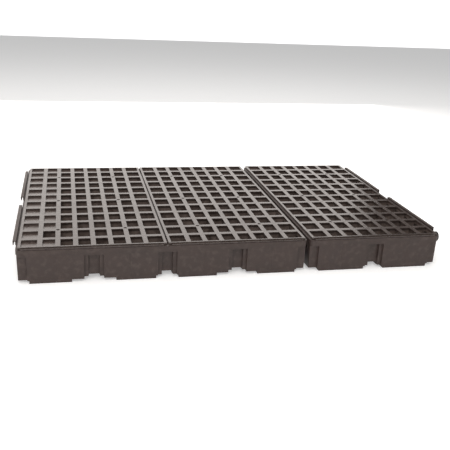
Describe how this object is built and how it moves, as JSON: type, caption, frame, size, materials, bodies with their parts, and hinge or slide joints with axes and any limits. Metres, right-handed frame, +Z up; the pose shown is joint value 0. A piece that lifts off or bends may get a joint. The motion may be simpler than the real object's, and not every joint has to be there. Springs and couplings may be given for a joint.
{
  "type": "spill containment pallet",
  "caption": "Low plastic spill pallet: moulded sump trays side by side under lift-out open grates, hook rails along the outer sides and a capped drain fitting.",
  "frame": {"origin": "centre of the overall box, on the ground under the feet", "axes": "+X along the row of grates towards the drain, -Y the long front face, +Z up"},
  "size_m": [2.0468, 1.3272, 0.1715],
  "materials": {
    "deck_plastic": "dark brown moulded polyethylene, satin, with a glancing shine on the flat tops",
    "tray_plastic": "dark brown moulded polyethylene, satin",
    "fitting_plastic": "black moulded plastic",
    "seal_rubber": "black rubber"
  },
  "bodies": {
    "trays": {"double_tray": "tray_plastic", "single_tray": "tray_plastic", "drain_body": "fitting_plastic", "drain_inner_gasket": "seal_rubber", "drain_washer": "seal_rubber", "drain_locknut": "fitting_plastic", "link_body": "fitting_plastic", "link_gasket_left": "seal_rubber", "link_spacer": "seal_rubber", "link_gasket_right": "seal_rubber", "link_locknut": "fitting_plastic"},
    "left_grate": {"grate_left": "deck_plastic"},
    "middle_grate": {"grate_middle": "deck_plastic"},
    "right_grate": {"grate_right": "deck_plastic"},
    "cap_seal": {"drain_cap_seal": "seal_rubber"},
    "cap": {"drain_cap": "fitting_plastic"}
  },
  "joints": [
    {"name": "left_grate_lift", "type": "slide", "parent": "trays", "child": "left_grate", "axis": [0, 0, 1], "range_m": [0, 0.25]},
    {"name": "middle_grate_lift", "type": "slide", "parent": "trays", "child": "middle_grate", "axis": [0, 0, 1], "range_m": [0, 0.25]},
    {"name": "right_grate_lift", "type": "slide", "parent": "trays", "child": "right_grate", "axis": [0, 0, 1], "range_m": [0, 0.25]},
    {"name": "cap_travel", "type": "slide", "parent": "trays", "child": "cap_seal", "axis": [1, 0, 0], "range_m": [0, 0.0151]},
    {"name": "cap_turn", "type": "hinge", "parent": "cap_seal", "child": "cap", "pos_m": [1.00135, -0.5876, 0.1275], "axis": [1, 0, 0], "range_deg": [0, 1800]}
  ],
  "couplings": [
    {"joint": "cap_travel", "follows": "cap_turn", "m_per_rad": 0.00047746}
  ]
}
